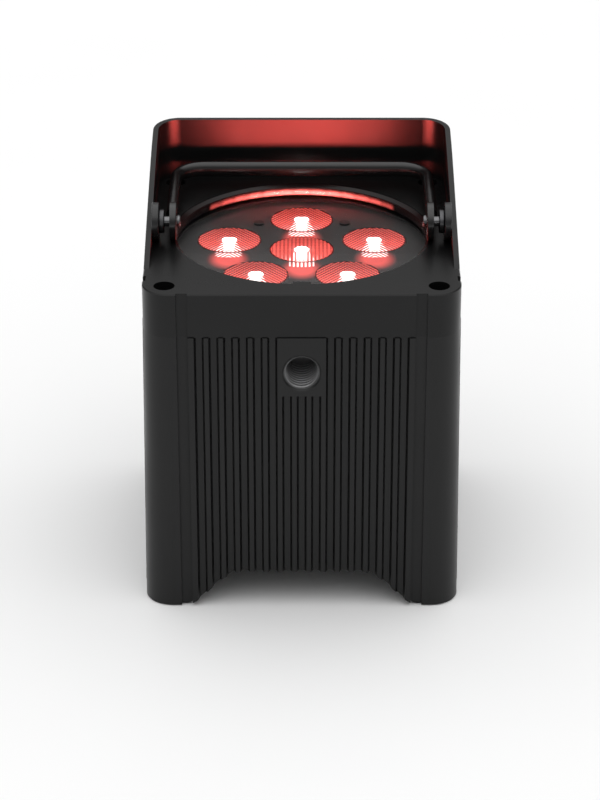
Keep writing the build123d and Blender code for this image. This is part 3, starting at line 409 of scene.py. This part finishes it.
def lens_material(name, cx, cy, centre):
    """Lit red optic, partly painted light: a white-hot core where the LED shines through, with the light painted lit
    and shaded along the ribs, dimmer towards the rear, and painted streaks of the core running forward through the
    ribs.
    """
    m = Mat(name)
    x, y, z = m.xyz()
    dx = m.math("SUBTRACT", x, cx)
    dy = m.math("SUBTRACT", y, cy)
    adx = m.math("ABSOLUTE", dx)
    r = m.math("SQRT", m.math("ADD", m.math("MULTIPLY", dx, dx), m.math("MULTIPLY", dy, dy)))
    if centre:
        p = m.math("DIVIDE", dx, RIB_C)
        q = m.math("DIVIDE", dy, 0.0034)
    else:
        p = m.math("ADD", m.math("DIVIDE", adx, RIB_X), m.math("DIVIDE", dy, RIB_Y))
        q = m.math("SUBTRACT", m.math("DIVIDE", adx, RIB_X), m.math("DIVIDE", dy, RIB_Y))
    ribs = m.math("ADD", m.math("MULTIPLY", m.math("COSINE", m.math("MULTIPLY", p, 2 * math.pi)), 0.5), 0.5)
    cross = m.math("ADD", m.math("MULTIPLY", m.math("COSINE", m.math("MULTIPLY", q, 2 * math.pi)), 0.5), 0.5)
    # painted shade: the ribs striped lit and dark, darker between the cross ribs at the rear, and the light dimming
    # from front to back
    rear = m.smooth(m.math("ADD", dy, m.math("MULTIPLY", adx, 0.25)), -0.003, 0.004)
    painted_rear_shade = m.math("MULTIPLY", m.math("SUBTRACT", 1.0, m.smooth(cross, 0.2, 0.8)), m.math("MULTIPLY", rear, 0.10 if centre else 0.34))
    lit = m.math("SUBTRACT", m.smooth(ribs, 0.12, 0.70, (0.62 if centre else 0.36, 1.06)), painted_rear_shade)
    painted_dimming = m.smooth(dy, -0.002, 0.0150, (1.08, 0.62))
    level = m.math("MULTIPLY", lit, painted_dimming)
    cloud = m.noise(300.0, 2.0, 0.5)
    level = m.math("MULTIPLY", level, m.smooth(cloud, 0.3, 0.7, (0.94, 1.06)))
    edge = m.smooth(r, 0.01495, 0.01535, (1.0, 0.04))
    level = m.math("MULTIPLY", level, edge)
    # white-hot core, and a painted streak of it running forward through the ribs
    core = m.smooth(r, 0.0034, 0.0039, (1.0, 0.0))
    half = m.smooth(dy, -0.0150, -0.0010, (0.0063, 0.0035))
    wide = m.smooth(m.math("SUBTRACT", adx, half), -0.0006, 0.0006, (1.0, 0.0))
    painted_core_streak = m.math("MULTIPLY", wide, m.smooth(dy, -0.0012, 0.0, (1.0, 0.0)))
    near = m.smooth(adx, 0.0022, 0.0034, (1.0, 0.0))
    deep = m.smooth(dy, -0.0150, -0.0080, (0.55, 1.0))
    solid = m.math("MULTIPLY", near, deep)
    toothed = m.math("MAXIMUM", solid, m.smooth(ribs, 0.58, 0.90))
    white = m.math("MULTIPLY", m.math("MAXIMUM", core, m.math("MULTIPLY", painted_core_streak, toothed)), edge)
    # painted pale streaks of the core's light, spreading along the ribs towards the front
    painted_reach = m.math("MULTIPLY", m.smooth(dy, -0.0150, -0.0050, (1.0, 0.0)), m.smooth(adx, 0.0050, 0.0130, (0.55, 0.0)))
    painted_halo = m.math("ADD", m.math("MULTIPLY", painted_reach, m.smooth(ribs, 0.4, 0.9)), m.smooth(r, 0.0036, 0.0075, (0.10, 0.0)))
    hot = m.math("MAXIMUM", white, m.math("MULTIPLY", painted_halo, edge), clamp=True)
    em = m.mix(hot, RED, (1.0, 0.93, 0.90))
    power = m.math("ADD", level, m.math("ADD", m.math("MULTIPLY", core, 3.0), m.math("MULTIPLY", white, 0.9)))
    m.principled((0.06, 0.004, 0.0035), 0.22, emission=em, strength=power, spec=0.25)
    return m.m


def lens_piece(node):
    cx, cy, r, z0, z1 = LENSES[node]
    centre = node == "lens_centre"
    bm = bmesh.new()
    nu, nv = 124, (40 if centre else 72)
    top = z1
    amp = 0.00042
    R = r - 0.00005
    rows = []
    for i in range(nu + 1):
        u = -math.cos(math.pi * i / nu)
        u = 0.55 * (2 * i / nu - 1) + 0.45 * u
        u = max(-1.0, min(1.0, u))
        half = math.sqrt(max(0.0, 1 - u * u))
        row = []
        for j in range(nv + 1):
            v = 2 * j / nv - 1
            dx, dy = u * R, v * half * R
            rho = math.hypot(dx, dy) / R
            h = 0.5 + 0.5 * math.cos(2 * math.pi * rib_coord(dx, dy, centre))
            dome = 0.0
            zz = top - amp * (1 - h) - dome
            row.append(bm.verts.new((cx + dx, cy + dy, zz)))
            if half < 1e-6:
                row = row * (nv + 1)
                break
        rows.append(row)
    for i in range(nu):
        a, b = rows[i], rows[i + 1]
        for j in range(nv):
            vs = [a[j], b[j], b[j + 1], a[j + 1]]
            uniq = []
            for q in vs:
                if q not in uniq:
                    uniq.append(q)
            if len(uniq) >= 3:
                bm.faces.new(uniq)
    # rim loop, in order round the lens
    rim = [rows[i][0] for i in range(nu + 1)] + [rows[i][nv] for i in range(nu - 1, 0, -1)]
    profile = [(R, top - 0.0026), (0.0149, top - 0.0028), (0.0148, top - 0.0034), (0.0124, z0 + 0.0108),
               (0.0092, z0 + 0.0054), (0.0056, z0), (0.0039, z0), (0.0036, z0 + 0.005)]
    prev = rim
    for pr, pz in profile:
        loop = []
        for v in rim:
            d = Vector((v.co.x - cx, v.co.y - cy))
            d = d / max(d.length, 1e-9)
            loop.append(bm.verts.new((cx + d.x * pr, cy + d.y * pr, pz)))
        for k in range(len(rim)):
            k2 = (k + 1) % len(rim)
            bm.faces.new((prev[k], prev[k2], loop[k2], loop[k]))
        prev = loop
    bm.faces.new(list(reversed(prev)))
    bmesh.ops.recalc_face_normals(bm, faces=bm.faces)
    for f in bm.faces:
        f.smooth = True
    o = new_piece(node + "_optic", bm, [lens_material("optic_" + node[5:], cx, cy, centre)])
    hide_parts(node)
    return o


for n in LENSES:
    lens_piece(n)

# accessory thread ------------------------------------------------------------


def thread_material(zc):
    """Blackened steel thread: paler and more metallic on the crests and in a narrow band at the mouth, dark in the
    roots and further in.
    """
    m = Mat("thread_steel")
    x, y, z = m.xyz()
    dz = m.math("SUBTRACT", z, zc)
    r = m.math("SQRT", m.math("ADD", m.math("MULTIPLY", x, x), m.math("MULTIPLY", dz, dz)))
    # paler on the crests and at the mouth, darker in the roots and deeper in
    crest = m.smooth(r, 0.00780, 0.00835, (1.0, 0.0))
    open_end = m.smooth(y, -0.0748, -0.0742, (1.0, 0.0))
    pale_mask = m.math("MAXIMUM", crest, m.math("MULTIPLY", open_end, 0.22))
    marks = m.noise(900.0, 3.0, 0.6, (1.0, 10.0, 1.0))
    col = m.mix(pale_mask, (0.004, 0.004, 0.004), (0.30, 0.30, 0.305))
    r2 = m.smooth(marks, 0.3, 0.7, (0.34, 0.46))
    m.principled(col, r2, m.smooth(pale_mask, 0.0, 1.0, (0.1, 0.55)), normal=m.bump(marks, 0.15, 0.00001), spec=0.4)
    return m.m


def thread_piece():
    lo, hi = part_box("thread_insert")
    zc = (lo.z + hi.z) / 2
    ro = (hi.x - lo.x) / 2
    y0, y1 = lo.y, hi.y                          # mouth and closed end
    end = y1 - 0.0011                            # floor of the blind hole
    pitch = 0.0025
    crest, root = 0.00767, 0.00905
    neck, step = 0.00855, -0.07345
    m = thread_material(zc)
    bm = bmesh.new()
    na, nl = 120, 190
    grid = []
    for i in range(nl + 1):
        y = y0 + (end - y0) * i / nl
        ring = []
        for k in range(na):
            a = 2 * math.pi * k / na
            t = (y / pitch + k / na) % 1.0
            w = abs(2 * t - 1)                   # 0 at the root, 1 at the crest
            w = min(1.0, max(0.0, (w - 0.12) / 0.62))
            r = root + (crest - root) * w
            if y < step + 0.0006:                # the neck is thin, so its thread runs shallow
                r = crest + (r - crest) * 0.45
            f = max(0.0, 1 - (y - y0) / 0.00085)
            r = max(r, crest + 0.00078 * f)
            ring.append(bm.verts.new((r * math.sin(a), y, zc + r * math.cos(a))))
        grid.append(ring)
    for i in range(nl):
        for k in range(na):
            k2 = (k + 1) % na
            bm.faces.new((grid[i][k], grid[i][k2], grid[i + 1][k2], grid[i + 1][k]))
    bm.faces.new(grid[nl])
    outer = []
    for r, y in ((neck, y0), (neck, step), (ro, step), (ro, y1)):
        outer.append([bm.verts.new((r * math.sin(2 * math.pi * k / na), y, zc + r * math.cos(2 * math.pi * k / na)))
                      for k in range(na)])
    for k in range(na):
        k2 = (k + 1) % na
        bm.faces.new((outer[0][k], outer[0][k2], grid[0][k2], grid[0][k]))
        for a, b in zip(outer, outer[1:]):
            bm.faces.new((a[k2], a[k], b[k], b[k2]))
    bm.faces.new(list(reversed(outer[-1])))
    bmesh.ops.recalc_face_normals(bm, faces=bm.faces)
    for f in bm.faces:
        f.smooth = len(f.verts) == 4 and abs(f.normal.y) < 0.9
    o = new_piece("accessory_thread", bm, [m])
    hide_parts("thread_insert")


thread_piece()

# --------------------------------------------------------------------------- stage
floor_me = bpy.data.meshes.new("floor")
bm = bmesh.new()
S = 6.0
RED_POWER = 0.88
RIM_POWER = 0.042
SKY_LOW, SKY_TOP = 0.30, 1.68               # soft sky: dimmer near the horizon, bright overhead
vs = [bm.verts.new(v) for v in ((-S, -S, 0.0), (S, -S, 0.0), (S, S, 0.0), (-S, S, 0.0))]
bm.faces.new(vs)
bm.to_mesh(floor_me)
bm.free()
floor = bpy.data.objects.new("floor", floor_me)
bpy.context.scene.collection.objects.link(floor)
fm = Mat("floor_pale")
fcol = fm.ramp(fm.noise(3.0), [(0.3, (0.90, 0.90, 0.90)), (0.7, (0.92, 0.92, 0.92))])
fm.principled(fcol, 0.9, spec=0.1)
floor_me.materials.append(fm.m)

# -------------------------------------------------------------------------- lights
world = bpy.data.worlds.new("studio")
bpy.context.scene.world = world
world.use_nodes = True
wn = world.node_tree
bg = wn.nodes["Background"]
sky = wn.nodes.new("ShaderNodeTexCoord")
sep = wn.nodes.new("ShaderNodeSeparateXYZ")
up = wn.nodes.new("ShaderNodeMapRange")
up.interpolation_type = "SMOOTHSTEP"
wn.links.new(sky.outputs["Generated"], sep.inputs[0])
wn.links.new(sep.outputs[2], up.inputs["Value"])
up.inputs["From Min"].default_value = 0.30
up.inputs["From Max"].default_value = 0.95
up.inputs["To Min"].default_value = SKY_LOW
up.inputs["To Max"].default_value = SKY_TOP
bg.inputs[0].default_value = (1.0, 1.0, 1.0, 1.0)
wn.links.new(up.outputs[0], bg.inputs[1])


def area(name, loc, target, size, size_y, power, color=(1, 1, 1), spread=180.0, camera=False):
    l = bpy.data.lights.new(name, "AREA")
    l.shape = "RECTANGLE"
    l.size, l.size_y = size, size_y
    l.energy = power
    l.color = color
    l.spread = math.radians(spread)
    o = bpy.data.objects.new(name, l)
    bpy.context.scene.collection.objects.link(o)
    o.location = loc
    o.rotation_euler = (Vector(target) - Vector(loc)).to_track_quat("-Z", "Y").to_euler()
    o.visible_camera = camera
    return o


# the red light that leaves the opening: a disc just above the glass.  The full
# strength falls on the hood, and a weak copy falls on everything else
painted = bpy.data.collections.new("lit_paint")
painted.objects.link(NODES["top_frame"])


def beam(name, power, only=None):
    l = bpy.data.lights.new(name, "AREA")
    l.shape = "ELLIPSE"
    l.size, l.size_y = 0.102, 0.066
    l.energy = power
    l.color = (1.0, 0.100, 0.084)
    o = bpy.data.objects.new(name, l)
    bpy.context.scene.collection.objects.link(o)
    o.location = (0.0, -0.016, Z_GLASS + 0.0003)
    o.rotation_euler = (math.pi, 0.0, 0.0)
    o.visible_camera = False
    if only:
        o.light_linking.receiver_collection = only
    return o


beam("red_beam_hood", RED_POWER, painted)
beam("red_beam_spill", 0.012)
# the bright rim of the opening, lit from the outer edge of the glass
for k in range(-6, 7):
    a = math.radians(7.5 * k)
    rad = 0.0573
    src = Vector((rad * math.sin(a), rad * math.cos(a), Z_GLASS + 0.0003))
    aim = Vector((math.sin(a), math.cos(a), 0.42))
    o = area("red_rim_%02d" % (k + 6), src, src + aim, 0.0075, 0.0005, RIM_POWER * math.exp(-(7.5 * k / 33.0) ** 2), RED, 46.0)
    o.visible_glossy = False
    o.light_linking.receiver_collection = painted

# -------------------------------------------------------------------------- camera
cam = bpy.data.cameras.new("photo_camera")
cam.lens = 119.78
cam.sensor_width = 36.0
cam.shift_x = -0.0021
cam.clip_start = 0.05
co = bpy.data.objects.new("photo_camera", cam)
bpy.context.scene.collection.objects.link(co)
co.location = (0.0, -1.2019, 0.67633)
co.rotation_euler = (math.radians(63.406), 0.0, 0.0)
bpy.context.scene.camera = co
bpy.context.scene.view_settings.view_transform = "Standard"
